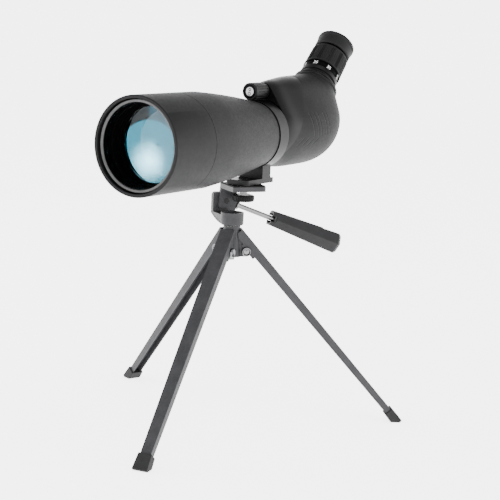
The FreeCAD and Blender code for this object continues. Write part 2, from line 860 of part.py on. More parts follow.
def tilt_pin():
    outer = ear_inner - ear_thickness
    inner = arm_inner() + arm_thickness
    shape = turned((0, -1.2), (tilt_pin_radius + 1.6, -1.2), (tilt_pin_radius + 1.6, 0),
                   (tilt_pin_radius, 0), (tilt_pin_radius, inner - outer), (0, inner - outer))
    return placed(shape, head_point(outer, tilt_pin_u, tilt_pin_height), tilt_direction)


def arm_inner():
    return ear_inner + washer_thickness


def tilt_washer():
    shape = ring(tilt_pin_radius + air, tilt_pin_radius + 3.0, 0, washer_thickness)
    return placed(shape, head_point(ear_inner, tilt_pin_u, tilt_pin_height), tilt_direction)


def tilt_bracket():
    low = arm_inner()
    high = low + arm_thickness
    arm_points = [(platform_low_u, platform_bottom + 1), (platform_low_u - 0.8, 198.0),
                  (platform_low_u - 0.8, 188.2), (platform_low_u, 187.4), (6.3, 187.4),
                  (9.6, 194.0), (12.4, 200.0), (15.0, platform_bottom + 1)]
    arm = head_prism(arm_points, low, high)
    plate = head_block(platform_low_t, platform_high_t, platform_low_u, platform_high_u,
                       platform_bottom, platform_bottom + platform_thickness)
    far_edges = [edge for edge in plate.Edges
                 if abs(edge.tangentAt(edge.FirstParameter).z) > 0.9
                 and edge.CenterOfMass.dot(cross_direction) > platform_high_u - 1]
    plate = plate.makeFillet(4.5, far_edges)
    shape = plate.fuse(arm).removeSplitter()
    pin_hole = placed(rod(tilt_pin_radius + running, -1, arm_thickness + 2),
                      head_point(low - 0.5, tilt_pin_u, tilt_pin_height), tilt_direction)
    stud_hole = rod(camera_stud_radius + air, platform_bottom - 1, platform_bottom + 10)
    stud_hole.translate(camera_axis_point())
    return shape.cut(pin_hole).cut(stud_hole)


def platform_pad():
    low = platform_bottom + platform_thickness
    inset = 0.5
    pad = head_block(platform_low_t + inset, platform_high_t - inset, platform_low_u + inset,
                     platform_high_u - inset, low, low + pad_thickness)
    far_edges = [edge for edge in pad.Edges
                 if abs(edge.tangentAt(edge.FirstParameter).z) > 0.9
                 and edge.CenterOfMass.dot(cross_direction) > platform_high_u - 1]
    pad = pad.makeFillet(4.2, far_edges)
    hole = rod(camera_stud_radius + air, low - 1, low + pad_thickness + 1)
    hole.translate(camera_axis_point())
    return pad.cut(hole)


def camera_knob():
    low = camera_knob_bottom
    high = low + camera_knob_height
    shape = turned((0, low), (camera_knob_radius - 1.0, low), (camera_knob_radius, low + 1.0),
                   (camera_knob_radius, high - 0.8), (camera_knob_radius - 0.8, high), (0, high))
    teeth = 30
    for index in range(teeth):
        angle = 2 * math.pi * index / teeth
        centre = Vector(camera_knob_radius * math.cos(angle), camera_knob_radius * math.sin(angle), low - 1)
        shape = shape.cut(Part.makeCylinder(0.55, camera_knob_height + 2, centre))
    shape = shape.cut(rod(camera_stud_radius, low + 1.5, high + 1))
    shape.translate(camera_axis_point())
    return shape


def camera_screw():
    low = camera_knob_bottom + 1.5
    flange = camera_knob_bottom + camera_knob_height
    high = foot_bottom + camera_stud_length - 1.0
    shape = turned((0, low), (camera_stud_radius, low), (camera_stud_radius, flange),
                   (camera_stud_radius + 2.4, flange), (camera_stud_radius + 2.4, flange + 1.2),
                   (camera_stud_radius, flange + 1.2), (camera_stud_radius, high - 0.6),
                   (camera_stud_radius - 0.6, high), (0, high))
    shape.translate(camera_axis_point())
    return shape


def handle_rod():
    start = tilt_pin_radius + thread_fit + 0.15
    face = handle_socket_end() + air
    shape = turned((0, start), (handle_thread_radius, start), (handle_thread_radius, face),
                   (handle_rod_radius + 1.8, face), (handle_rod_radius + 1.8, face + 1.6),
                   (handle_rod_radius, face + 1.6), (handle_rod_radius, start + handle_rod_length),
                   (0, start + handle_rod_length))
    return placed(shape, handle_base(), handle_direction())


def grip_section(half_width, place):
    """Six-sided outline with flat top and bottom."""
    half_height = half_width * 0.94
    corner = half_width * 0.52
    return Part.makePolygon([
        Vector(half_width, 0, place), Vector(corner, half_height, place),
        Vector(-corner, half_height, place), Vector(-half_width, 0, place),
        Vector(-corner, -half_height, place), Vector(corner, -half_height, place),
        Vector(half_width, 0, place)])


def handle_grip():
    start = handle_socket_end() + handle_visible
    inner = grip_section(grip_inner_width / 2, start)
    outer = grip_section(grip_outer_width / 2, start + grip_length - 3.0)
    tip = grip_section(grip_outer_width / 2 - 2.2, start + grip_length)
    body = Part.makeLoft([inner, outer], True, True).fuse(Part.makeLoft([outer, tip], True, True))
    bore = rod(handle_rod_radius + thread_fit, start - 1, handle_rod_end() + 0.2)
    pocket = rod(grip_inner_width / 2 - 2.0, start - 1, start + 6.0)
    slot = Part.makeBox(40, 5.0, 5.0, Vector(-20, -2.5, start - 1))
    shape = body.cut(bore).cut(pocket).cut(slot)
    return placed_on_handle(shape)


def handle_rod_end():
    return tilt_pin_radius + thread_fit + 0.15 + handle_rod_length


def placed_on_handle(shape):
    """Puts a shape on the handle with its local X kept along the tilt pin."""
    z_axis = handle_direction()
    x_axis = Vector(tilt_direction)
    y_axis = z_axis.cross(x_axis)
    result = shape.copy()
    result.Placement = Placement(handle_base(), Rotation(x_axis, y_axis, z_axis, "ZXY"))
    return result


# ---------------------------------------------------------------- hub and legs

def leg_angle(index):
    return math.radians(first_leg_angle + 360.0 / leg_count * index)


def leg_frame(index):
    """Pivot, direction down the leg, outward normal of its face and its sideways direction."""
    angle = leg_angle(index)
    spread = math.radians(leg_spread)
    out = Vector(math.cos(angle), math.sin(angle), 0)
    side = Vector(-math.sin(angle), math.cos(angle), 0)
    pivot = out * pivot_radius + Vector(0, 0, pivot_height)
    down = out * math.sin(spread) - up * math.cos(spread)
    face = out * math.cos(spread) + up * math.sin(spread)
    return pivot, down, face, side


def leg_box(index, low, high, half_low, half_high, face_low, face_high, back_low, back_high):
    """Tapered bar along a leg: half widths and the places of its outer and inner faces."""
    pivot, down, face, side = leg_frame(index)
    wires = []
    for place, half, front, back in ((low, half_low, face_low, back_low),
                                     (high, half_high, face_high, back_high)):
        base = pivot + down * place
        loop = [base + side * half + face * front, base - side * half + face * front,
                base - side * half + face * back, base + side * half + face * back]
        wires.append(Part.makePolygon(loop + loop[:1]))
    return Part.makeLoft(wires, True, True)


def leg_reach():
    """Distance from the pivot to where the outer face would meet the floor."""
    spread = math.radians(leg_spread)
    return (pivot_height + leg_face_offset * math.sin(spread)) / math.cos(spread)


def leg_end():
    return leg_reach() - boot_toe_setback - boot_toe_thickness


def leg_half_width(place):
    """Half the outside width of a leg, a distance below its pivot."""
    share = (place + leg_top) / (leg_end() + leg_top)
    return (leg_width_top + (leg_width_foot - leg_width_top) * share) / 2


def lobe_width():
    return 2 * (leg_half_width(lobe_end_radius) - leg_sheet - lobe_side_gap)


def hub_core():
    return turned((0, hub_bottom), (hub_core_radius, hub_bottom),
                  (hub_core_radius - 0.6, hub_bottom + 9.0, neck_hub_radius, neck_hub_bottom),
                  (neck_hub_radius, cup_bottom - washer_thickness), (0, cup_bottom - washer_thickness))


def hub():
    shape = hub_core()
    bottom = pivot_height - lobe_end_radius
    for index in range(leg_count):
        pivot, down, face, side = leg_frame(index)
        out = side.cross(up)
        crown = 7.5

        def at(radius, height):
            return out * radius + Vector(0, 0, height) - side * (lobe_width() / 2)

        tip = at(pivot_radius + lobe_end_radius, pivot_height)
        high = at(neck_hub_radius - 0.6, neck_hub_bottom + 1.0)
        bend = at((pivot_radius + neck_hub_radius) / 2 + 0.9, pivot_height + crown)
        below = at(pivot_radius, bottom)
        quarter = at(pivot_radius + lobe_end_radius * 0.707, pivot_height - lobe_end_radius * 0.707)
        inner_low = at(2.0, hub_bottom)
        inner_high = at(2.0, neck_hub_bottom + 1.0)
        lobe = Part.Face(Part.Wire([
            Part.Arc(high, bend, tip).toShape(), Part.Arc(tip, quarter, below).toShape(),
            Part.LineSegment(below, inner_low).toShape(),
            Part.LineSegment(inner_low, inner_high).toShape(),
            Part.LineSegment(inner_high, high).toShape()])).extrude(side * lobe_width())
        shape = shape.fuse(lobe)
    for index in range(leg_count):
        pivot, down, face, side = leg_frame(index)
        shape = shape.cut(placed(rod(leg_pin_radius + thread_fit, -20, 20), pivot, side))
    bore = rod(pan_bolt_radius + running, hub_bottom - 1, cup_bottom + 1)
    return shape.cut(bore).removeSplitter()


def leg_pins():
    """Three rivets with domed bright heads, one for each leg."""
    reach = leg_half_width(-leg_pin_head_radius) + running
    top = reach + leg_pin_head_height
    bulge = 0.7 * leg_pin_head_height
    middle, drop = dome_middle(leg_pin_head_radius, bulge)
    pins = []
    for index in range(leg_count):
        pivot, down, face, side = leg_frame(index)
        shape = turned((0, -top), (middle, drop - top, leg_pin_head_radius, bulge - top),
                       (leg_pin_head_radius, -reach), (leg_pin_radius, -reach),
                       (leg_pin_radius, reach), (leg_pin_head_radius, reach),
                       (leg_pin_head_radius, top - bulge), (middle, top - drop, 0, top))
        pins.append(placed(shape, pivot, side))
    return Part.makeCompound(pins)


def leg(index):
    pivot, down, face, side = leg_frame(index)
    top_half = leg_width_top / 2
    foot_half = leg_width_foot / 2
    low = -leg_top
    high = leg_end()
    front = leg_face_offset
    outer = leg_box(index, low, high, top_half, foot_half, front, front,
                    front - leg_depth_top, front - leg_depth_foot)
    tab = leg_box(index, -7.0, 9.0, leg_half_width(-7.0), leg_half_width(9.0), front, front,
                  front - tab_depth, front - tab_depth)
    inner = leg_box(index, low - 1, high + 1, top_half - leg_sheet, foot_half - leg_sheet,
                    front - leg_sheet, front - leg_sheet, front - 30, front - 30)
    corner_cut = placed(rod(4.0, -20, 20), pivot, side)
    round_tab = tab.common(corner_cut.fuse(leg_box(index, -30, 30, 20, 20, 30, 30, 0, 0)))
    shape = outer.fuse(round_tab).cut(inner)
    core = turned((0, hub_bottom - 12), (hub_core_radius + air, hub_bottom - 12),
                  (hub_core_radius + air, hub_bottom), (neck_hub_radius + air + 0.6, neck_hub_bottom),
                  (neck_hub_radius + air, cup_bottom), (0, cup_bottom))
    shape = shape.cut(core)
    hole = placed(rod(leg_pin_radius + running, -20, 20), pivot, side)
    shape = shape.cut(hole).common(leg_sector(index))
    solids = sorted(shape.Solids, key=lambda solid: solid.Volume)
    return solids[-1]


def leg_sector(index):
    """The share of the space round the hub that belongs to one leg, less a gap."""
    pivot, down, face, side = leg_frame(index)
    out = side.cross(up)
    half = math.pi / leg_count
    tip = out * (air / 2 / math.sin(half))
    reach = 400.0
    high = tip + (out * math.cos(half) + side * math.sin(half)) * reach
    low = tip + (out * math.cos(half) - side * math.sin(half)) * reach
    return Part.Face(Part.makePolygon([tip, low, high, tip])).extrude(up * reach)


def boot(index):
    """Rubber boot, cut flat where it stands on the floor."""
    foot_half = leg_width_foot / 2
    front = leg_face_offset
    high = leg_reach() - boot_toe_setback
    low = high - boot_length
    flare = 0.7
    outer = leg_box(index, low, high, foot_half + boot_wall, foot_half + boot_wall + flare,
                    front + boot_wall, front + boot_wall, front - leg_depth_foot - boot_wall,
                    front - leg_depth_foot - boot_wall - flare)
    outer = outer.common(block(-300, 300, -300, 300, 0, 60))
    taper = (leg_width_top - leg_width_foot) / 2 / (leg_end() + leg_top)
    depth_taper = (leg_depth_top - leg_depth_foot) / (leg_end() + leg_top)
    end = leg_end() + air
    run = end - low + 1
    pocket = leg_box(index, low - 1, end, foot_half + taper * run + 0.04, foot_half + 0.04,
                     front + 0.04, front + 0.04,
                     front - leg_depth_foot - depth_taper * run - 0.04,
                     front - leg_depth_foot - 0.04)
    core = leg_box(index, low + 2, end + 1, foot_half - leg_sheet - 0.1, foot_half - leg_sheet - 0.1,
                   front - leg_sheet - 0.1, front - leg_sheet - 0.1, front - leg_depth_foot - 1,
                   front - leg_depth_foot - 1)
    return outer.cut(pocket.cut(core))


builders = {
    "sun_hood": sun_hood, "hood_guide": hood_guide, "barrel_tube": barrel_tube,
    "barrel_armour": barrel_armour, "objective_cell": objective_cell,
    "lens_retainer": lens_retainer, "front_baffle": front_baffle,
    "objective_crown": objective_crown, "objective_flint": objective_flint,
    "stray_light_baffle": stray_light_baffle, "mount_collar": mount_collar,
    "foot_insert": foot_insert, "collar_lock_knob": collar_lock_knob,
    "prism_housing": prism_housing, "rear_cover": rear_cover, "roof_prism": roof_prism,
    "prism_cage": prism_cage, "focus_knob": focus_knob, "focus_cap": focus_cap,
    "focus_shaft": focus_shaft, "focus_carriage": focus_carriage, "focus_lens": focus_lens,
    "guide_rod": guide_rod, "eyepiece_seat": eyepiece_seat, "eyepiece_tube": eyepiece_tube,
    "scale_ring": scale_ring, "zoom_sleeve": zoom_sleeve, "zoom_grip": zoom_grip,
    "zoom_screw": zoom_screw, "zoom_front_cell": zoom_front_cell,
    "zoom_front_lens": zoom_front_lens, "zoom_rear_cell": zoom_rear_cell,
    "zoom_rear_lens": zoom_rear_lens, "field_stop": field_stop, "eye_lens": eye_lens,
    "eye_lens_ring": eye_lens_ring, "eyecup": eyecup, "pan_cup": pan_cup,
    "pan_bolt": pan_bolt, "pan_spring_washer": pan_spring_washer, "pan_nut": pan_nut,
    "friction_washer": friction_washer, "tilt_pin": tilt_pin, "tilt_washer": tilt_washer,
    "tilt_bracket": tilt_bracket, "platform_pad": platform_pad, "camera_knob": camera_knob,
    "camera_screw": camera_screw, "handle_rod": handle_rod, "handle_grip": handle_grip,
    "hub": hub, "leg_pins": leg_pins,
}

shapes = {name: build() for name, build in builders.items()}
for leg_index in range(leg_count):
    shapes["leg_%d" % (leg_index + 1)] = leg(leg_index)
    shapes["boot_%d" % (leg_index + 1)] = boot(leg_index)

# the origin is the middle of the overall box, on the floor
whole_box = Part.makeCompound(list(shapes.values())).optimalBoundingBox(False)
origin_shift = Vector(-whole_box.Center.x, -whole_box.Center.y, -whole_box.ZMin)

os.makedirs("parts", exist_ok=True)
for name, shape in shapes.items():
    shape.translate(origin_shift)
    shape.exportStep("parts/%s.step" % name)
    state = "ok" if shape.isValid() else "NOT VALID"
    print("%-20s %8.0f mm3  %d solid(s)  %s" % (name, shape.Volume, len(shape.Solids), state))
print("origin shift", tuple(round(value, 3) for value in origin_shift))
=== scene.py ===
import json
import math
import bmesh
import bpy
from mathutils import Matrix, Vector


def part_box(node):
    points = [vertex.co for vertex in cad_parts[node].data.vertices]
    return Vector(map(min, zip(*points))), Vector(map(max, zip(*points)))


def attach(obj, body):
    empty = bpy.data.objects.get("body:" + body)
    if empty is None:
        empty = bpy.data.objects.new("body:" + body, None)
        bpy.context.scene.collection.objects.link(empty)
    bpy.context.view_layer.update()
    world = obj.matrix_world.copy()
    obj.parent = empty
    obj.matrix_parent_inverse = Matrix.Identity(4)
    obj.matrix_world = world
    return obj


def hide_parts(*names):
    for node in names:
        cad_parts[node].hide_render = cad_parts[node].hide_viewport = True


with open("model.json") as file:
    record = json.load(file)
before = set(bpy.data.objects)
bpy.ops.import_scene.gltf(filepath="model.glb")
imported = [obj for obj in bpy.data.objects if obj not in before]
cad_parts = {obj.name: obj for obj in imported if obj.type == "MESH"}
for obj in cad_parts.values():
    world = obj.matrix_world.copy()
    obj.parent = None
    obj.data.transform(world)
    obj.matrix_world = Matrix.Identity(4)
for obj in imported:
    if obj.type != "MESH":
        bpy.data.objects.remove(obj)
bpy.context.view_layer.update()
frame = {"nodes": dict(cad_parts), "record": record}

record = frame["record"]
bodyOfNode = {node: body for body, nodes in record["behaviour"]["bodies"].items() for node in nodes}
slotOfNode = {part["node"]: part["material_slot"] for part in record["subparts"]}
jointByName = {joint["name"]: joint for joint in record["behaviour"]["joints"]}
mm = 0.001


# a socket that can be used in sums
class Sum:
    def __init__(self, paint, socket):
        self.paint = paint
        self.socket = socket

    def do(self, operation, first, second, clamp=False):
        settings = {"operation": operation, "use_clamp": clamp}
        return self.paint.node("ShaderNodeMath", settings, {0: first, 1: second})

    def __add__(self, other):
        return self.do("ADD", self, other)

    def __sub__(self, other):
        return self.do("SUBTRACT", self, other)

    def __rsub__(self, other):
        return self.do("SUBTRACT", other, self)

    def __mul__(self, other):
        return self.do("MULTIPLY", self, other)

    def __truediv__(self, other):
        return self.do("DIVIDE", self, other)

    def __gt__(self, other):
        return self.do("GREATER_THAN", self, other)

    def __lt__(self, other):
        return self.do("LESS_THAN", self, other)

    __radd__ = __add__
    __rmul__ = __mul__

    def between(self, low, high, soft):  # 1 inside a range, with soft edges
        rising = self.do("DIVIDE", self - (low - soft), 2 * soft, True)
        falling = self.do("DIVIDE", (high + soft) - self, 2 * soft, True)
        return rising * falling

    def clamped(self):
        return self.do("ADD", self, 0.0, True)

    def repeated(self, pitch):  # saw from 0 to 1
        return self.paint.node("ShaderNodeMath", {"operation": "FRACT"}, {0: self / pitch})

    def size(self):
        return self.paint.node("ShaderNodeMath", {"operation": "ABSOLUTE"}, {0: self})


# a material built node by node
class Paint:
    def __init__(self, name):
        self.material = bpy.data.materials.new(name)
        self.material.use_nodes = True
        self.tree = self.material.node_tree
        self.surface = self.tree.nodes["Principled BSDF"]
        self.place = self.node("ShaderNodeTexCoord", {}, {}, "Object").socket

    def node(self, kind, settings, values, output=0):
        made = self.tree.nodes.new(kind)
        for key, value in settings.items():
            if key == "stops":
                ramp = made.color_ramp
                while len(ramp.elements) < len(value):
                    ramp.elements.new(0.5)
                for element, (at, colour) in zip(ramp.elements, value):
                    element.position = at
                    element.color = (*colour, 1.0)
            else:
                setattr(made, key, value)
        for key, value in values.items():
            value = value.socket if isinstance(value, Sum) else value
            if isinstance(value, bpy.types.NodeSocket):
                self.tree.links.new(value, made.inputs[key])
            else:
                made.inputs[key].default_value = value
        return Sum(self, made.outputs[output])

    def noise(self, size, detail=2.0, rough=0.55, stretch=None):
        place = self.place
        if stretch:
            place = self.node("ShaderNodeMapping", {}, {"Vector": place, "Scale": stretch}).socket
        return self.node("ShaderNodeTexNoise", {},
                         {"Vector": place, "Scale": 1 / size, "Detail": detail, "Roughness": rough}, 0)

    def axis(self, letter):
        return self.node("ShaderNodeSeparateXYZ", {}, {0: self.place}, letter)

    def mixed(self, amount, first, second):
        wrap = [(*colour, 1.0) if isinstance(colour, (tuple, list)) else colour for colour in (first, second)]
        return self.node("ShaderNodeMix", {"data_type": "RGBA"}, {0: amount, 6: wrap[0], 7: wrap[1]}, 2)

    def bump(self, height, depth, strength=1.0):
        values = {"Height": height, "Distance": depth, "Strength": strength}
        normal = self.node("ShaderNodeBump", {}, values, "Normal")
        self.feed("Normal", normal)

    def feed(self, name, value):
        self.tree.links.new(value.socket, self.surface.inputs[name])

    def fix(self, **values):
        for name, value in values.items():
            self.surface.inputs[name.replace("_", " ")].default_value = value


# painted, rubber and plastic parts: how much light they return, from worn to fresh places, then their
# colour cast, roughness and its spread, gloss, and in millimetres the grain, its depth and the patches
finishes = {
    "rubberArmour": {"dark": 0.00531, "light": 0.00894, "cast": (1, 1, 1.04), "rough": 0.56, "spread": 0.14,
                     "shine": 0.081, "grain": 0.35, "depth": 0.05, "patch": 14},
    "hoodPaint": {"dark": 0.00447, "light": 0.00712, "cast": (1, 1, 1.04), "rough": 0.54, "spread": 0.12,
                  "shine": 0.081, "grain": 0.3, "depth": 0.03, "patch": 16},
    "satinBlack": {"dark": 0.000706, "light": 0.00142, "cast": (1, 1, 1.07), "rough": 0.36, "spread": 0.12,
                   "shine": 0.12, "grain": 0.25, "depth": 0.015, "patch": 11},
    "anodised": {"dark": 0.000225, "light": 0.000562, "cast": (1, 1, 1.08), "rough": 0.5, "spread": 0.15,
                 "shine": 0.025, "grain": 0.2, "depth": 0.02, "patch": 8},
    "knobPlastic": {"dark": 0.00137, "light": 0.00275, "cast": (1, 1, 1.05), "rough": 0.44, "spread": 0.14,
                    "shine": 0.096, "grain": 0.28, "depth": 0.03, "patch": 6},
    "tripodPaint": {"dark": 0.0171, "light": 0.0304, "cast": (1, 1, 1.08), "rough": 0.46, "spread": 0.14,
                    "shine": 0.14, "grain": 0.4, "depth": 0.05, "patch": 12},
    "bootRubber": {"dark": 0.00881, "light": 0.0165, "cast": (1, 1, 1.04), "rough": 0.66, "spread": 0.12,
                   "shine": 0.11, "grain": 0.5, "depth": 0.07, "patch": 5},
    "padRubber": {"dark": 0.00357, "light": 0.00625, "cast": (1, 1, 1), "rough": 0.72, "spread": 0.1,
                  "shine": 0.075, "grain": 0.5, "depth": 0.06, "patch": 6},
    "gripPlastic": {"dark": 0.0067, "light": 0.0114, "cast": (1, 1, 1.06), "rough": 0.42, "spread": 0.14,
                    "shine": 0.16, "grain": 0.5, "depth": 0.04, "patch": 10},
    "nylon": {"dark": 0.42, "light": 0.55, "cast": (1, 0.98, 0.9), "rough": 0.5, "spread": 0.1,
              "shine": 0.15, "grain": 0.4, "depth": 0.02, "patch": 3},
    # lighter tone for the ring round the tube's front lip
    "paleRimTone": {"dark": 0.022, "light": 0.05, "cast": (1, 1, 1), "rough": 0.4, "spread": 0.15,
                 "shine": 0.3, "grain": 0.25, "depth": 0.02, "patch": 4},
    "blackened": {"dark": 0.00179, "light": 0.00446, "cast": (1, 1, 1.12), "rough": 0.38, "spread": 0.15,
                  "shine": 0.15, "grain": 0.2, "depth": 0.02, "patch": 3},
}
texture = {
    "patchShare": 0.55, "blotchShare": 0.3, "grainShare": 0.15, "toneFrom": 0.32, "toneGain": 2.6,
    "blotchSize": 0.17, "roughFrom": 0.3, "roughGain": 2.2, "grainHeight": 0.7, "blotchHeight": 0.3,
}


def plainFinish(name, extra=None, called=None):
    look = finishes[name]
    mix = texture
    paint = Paint(called or name)
    grain = paint.noise(look["grain"] * mm, 3.0)
    patch = paint.noise(look["patch"] * mm, 3.0)
    blotch = paint.noise(look["patch"] * mix["blotchSize"] * mm, 4.0, 0.65)
    wear = patch * mix["patchShare"] + blotch * mix["blotchShare"] + grain * mix["grainShare"]
    tone = ((wear.clamped() - mix["toneFrom"]) * mix["toneGain"]).clamped()
    dark, light = (tuple(look[level] * channel for channel in look["cast"]) for level in ("dark", "light"))
    colour = paint.mixed(tone, dark, light)
    swing = ((blotch - mix["roughFrom"]) * mix["roughGain"]).clamped()
    rough = look["rough"] - look["spread"] / 2 + look["spread"] * swing
    height = grain * mix["grainHeight"] + blotch * mix["blotchHeight"]
    if extra:
        colour, rough, height = extra(paint, colour, rough, height)
    paint.feed("Base Color", colour)
    paint.feed("Roughness", rough)
    paint.bump(height, look["depth"] * mm)
    paint.fix(Specular_IOR_Level=look["shine"])
    return paint.material


paleRimBand = {"depth": 0.5, "size": 1.6, "cover": 0.35, "colour": (0.10, 0.10, 0.105), "roughDrop": 0.15}


# lighter, glossier, patchy band along the front rim of the tube
def paleRimEdge(paint, colour, rough, height):
    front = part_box("barrel_tube")[0].y
    edge = paint.axis("Y") < front + paleRimBand["depth"] * mm
    edge = edge * ((paint.noise(paleRimBand["size"] * mm, 3.0) + paleRimBand["cover"]).clamped())
    return paint.mixed(edge, colour, paleRimBand["colour"]), rough - edge * paleRimBand["roughDrop"], height


hoodJoin = {  # millimetres behind the front of the barrel's rubber
    "darkEnd": 0.75, "brightStart": 0.95, "brightEnd": 1.2, "soft": 0.15,
    "dark": (0.0004, 0.0004, 0.0004), "bright": (0.02, 0.02, 0.02),
}


# dark seam where the sliding hood meets the barrel, with a painted highlight along the rubber's edge behind it
def hoodSeam(paint, colour, rough, height):
    look = hoodJoin
    place = (paint.axis("Y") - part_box("barrel_armour")[0].y) / mm
    seam = ((look["darkEnd"] - place) * 3).clamped()
    # painted highlight: a lighter band just behind the seam
    edge = place.between(look["brightStart"], look["brightEnd"], look["soft"]) * 0.6
    return paint.mixed(seam, paint.mixed(edge, colour, look["bright"]), look["dark"]), rough, height


# moulded ribs and slanted marks on the rear cover's flanks, sunk in and coloured almost black as painted shade
# in the grooves, in millimetres from the optical axis
coverMarks = {
    "ribTop": 19, "ribBottom": -1, "ribPlaces": (80, 87, 92, 101, 106), "ribWidth": 0.35, "ribLean": 0.22,
    "slantTop": -3, "slantBottom": -9, "slantPlaces": (68, 76, 84, 92), "slantWidth": 0.7, "slantLean": -1.3,
    "flank": 20, "soft": 0.35, "endSoft": 1.2, "strength": 0.85, "depth": 5.0,
    "colour": (0.0006, 0.0006, 0.0007),
}


def coverRelief(paint, colour, rough, height):
    marks = coverMarks
    axis = jointByName["scope_rotation"]["pos_m"]
    y = (paint.axis("Y") - axis[1]) / mm
    z = (paint.axis("Z") - axis[2]) / mm
    side = (paint.axis("X") - axis[0]).size() > marks["flank"] * mm
    cut = z * 0.0
    for kind in ("rib", "slant"):
        leaned = y + z * marks[kind + "Lean"]
        lines = z * 0.0
        for place in marks[kind + "Places"]:
            half = marks[kind + "Width"]
            lines = lines + leaned.between(place - half, place + half, marks["soft"])
        cut = cut + lines * z.between(marks[kind + "Bottom"], marks[kind + "Top"], marks["endSoft"])
    cut = (cut * side).clamped()
    # the grooves take the near-black colour: painted shade
    return paint.mixed(cut * marks["strength"], colour, marks["colour"]), rough, height - cut * marks["depth"]


padRidge = {"pitch": 1.6, "height": 4.0}


# fine ridges on the camera platform's pad
def padRidges(paint, colour, rough, height):
    turn = jointByName["tilt"]["axis"]
    along = paint.axis("X") * turn[0] + paint.axis("Y") * turn[1]
    wave = (along.repeated(padRidge["pitch"] * mm) - 0.5).size() * 2.0
    return colour, rough, height + wave * padRidge["height"]


metals = {
    "chromed": {"colour": (0.15, 0.15, 0.155), "rough": 0.1, "scratch": 0.01 * mm},
    "plated": {"colour": (0.16, 0.16, 0.16), "rough": 0.2, "scratch": 0.015 * mm},
    "brightCap": {"colour": (0.30, 0.30, 0.31), "rough": 0.12, "scratch": 0.012 * mm},
    }


dullShare = 0.8  # how much of a metal's colour is left in its dull patches


def metalFinish(name, extra=None):
    look = metals[name]
    paint = Paint(name)
    scratch = paint.noise(0.35 * mm, 4.0, 0.6, (1.0, 7.0, 1.0))
    patch = paint.noise(3.0 * mm, 3.0)
    tone = ((patch * 0.7 + scratch * 0.3 - 0.3) * 2.2).clamped()
    dull = tuple(channel * dullShare for channel in look["colour"])
    colour = paint.mixed(tone, dull, look["colour"])
    rough = look["rough"] + patch * 0.12 + scratch * 0.06
    height = scratch
    if extra:
        colour, rough, height = extra(paint, colour, rough, height)
    paint.feed("Base Color", colour)
    paint.feed("Roughness", rough)
    paint.bump(height, look["scratch"])
    paint.fix(Metallic=1.0)
    return paint.material


capCurls = {  # centre and radius of each curl in millimetres
    "rings": ((0.0, 1.75, 1.0), (0.35, -1.9, 1.15)), "line": 0.42, "rim": 3.6, "colour": (0.004, 0.004, 0.0045),
}


# dark curls pressed into the focus cap's face, and its dark rim
def capRelief(paint, colour, rough, height):
    joint = jointByName["focus_turn"]
    axis = Vector(joint["axis"]).normalized()
    side = Vector((0, 0, 1)).cross(axis).normalized()
    top = axis.cross(side)
    parts = [(paint.axis(letter) - place) / mm for letter, place in zip("XYZ", joint["pos_m"])]
    u = parts[0] * side.x + parts[1] * side.y + parts[2] * side.z
    v = parts[0] * top.x + parts[1] * top.y + parts[2] * top.z
    dark = ((u * u + v * v) / capCurls["rim"] - capCurls["rim"]).clamped()
    for middleU, middleV, radius in capCurls["rings"]:
        away = (u - middleU) * (u - middleU) + (v - middleV) * (v - middleV)
        dark = dark + away.between((radius - 0.3) ** 2, (radius + capCurls["line"]) ** 2, 0.25)
    dark = dark.clamped()
    return paint.mixed(dark, colour, capCurls["colour"]), rough + dark * 0.25, height - dark * 2.0


coatingAndPaintedReflections = {  # places as shares of the lens radius, to the side and up
    # the lit disc, the glow and its bright colour are a painted lamp reflection and a painted glint; the band
    # and the shade are a painted reflection band and a painted dark reflection
    "radius": 31.0, "paintedReflectionDisc": (-0.22, -0.38), "glow": (-0.27, -0.5), "paintedGlintFall": 1.5,
    "film": 18, "filmShare": 0.15,
    "reflectionBandStart": -0.28, "reflectionBandEnd": 0.58, "shadeEnd": -0.26, "shadeBottom": 0.1,
    "bright": (0.4, 0.8, 0.95), "cyan": (0.008, 0.095, 0.135), "rim": (0.0, 0.007, 0.012),
    "band": (0.006, 0.028, 0.042),
    "shade": (0.0005, 0.001, 0.0015),
}


# coated objective: a tinted mirror with painted reflections in its colour: a lit disc with a painted glint low
# on one side, a painted reflection band and a painted dark reflection in an upper corner, and deep teal towards
# its rim
def lensTintAndPaintedReflections():
    look = coatingAndPaintedReflections
    paint = Paint("lensCoatingAndPaintedReflections")
    axis = jointByName["scope_rotation"]["pos_m"]
    x = (paint.axis("X") - axis[0]) / (look["radius"] * mm)
    z = (paint.axis("Z") - axis[2]) / (look["radius"] * mm)
    dust = paint.noise(0.5 * mm, 4.0, 0.6)
    film = paint.noise(look["film"] * mm, 2.0) - 0.5

    def away(place):
        return (x - place[0]) * (x - place[0]) + (z - place[1]) * (z - place[1])

    # painted glint: a bright spot low on one side, mixed into the lit disc's cyan
    glow = (1.0 - (away(look["glow"]) + film * look["filmShare"]) * look["paintedGlintFall"]).clamped()
    lit = paint.mixed(glow * glow * glow * glow, look["cyan"], look["bright"])
    # painted reflection band across the outer ring, and a painted dark reflection in the upper corner on one
    # side
    edge = paint.mixed(x.between(look["reflectionBandStart"], look["reflectionBandEnd"], 0.05), look["rim"], look["band"])
    shaded = ((look["shadeEnd"] - x) * 14).clamped() * ((z - look["shadeBottom"]) * 6).clamped()
    edge = paint.mixed(shaded, edge, look["shade"])
    # the lit disc holds the painted lamp reflection; outside it is the deep teal rim
    inside = ((1.0 - away(look["paintedReflectionDisc"])) * 10).clamped()
    paint.feed("Base Color", paint.mixed(inside, edge, lit))
    paint.feed("Roughness", 0.05 + dust * 0.05)
    paint.bump(dust, 0.002 * mm)
    paint.fix(Metallic=1.0)
    return paint.material


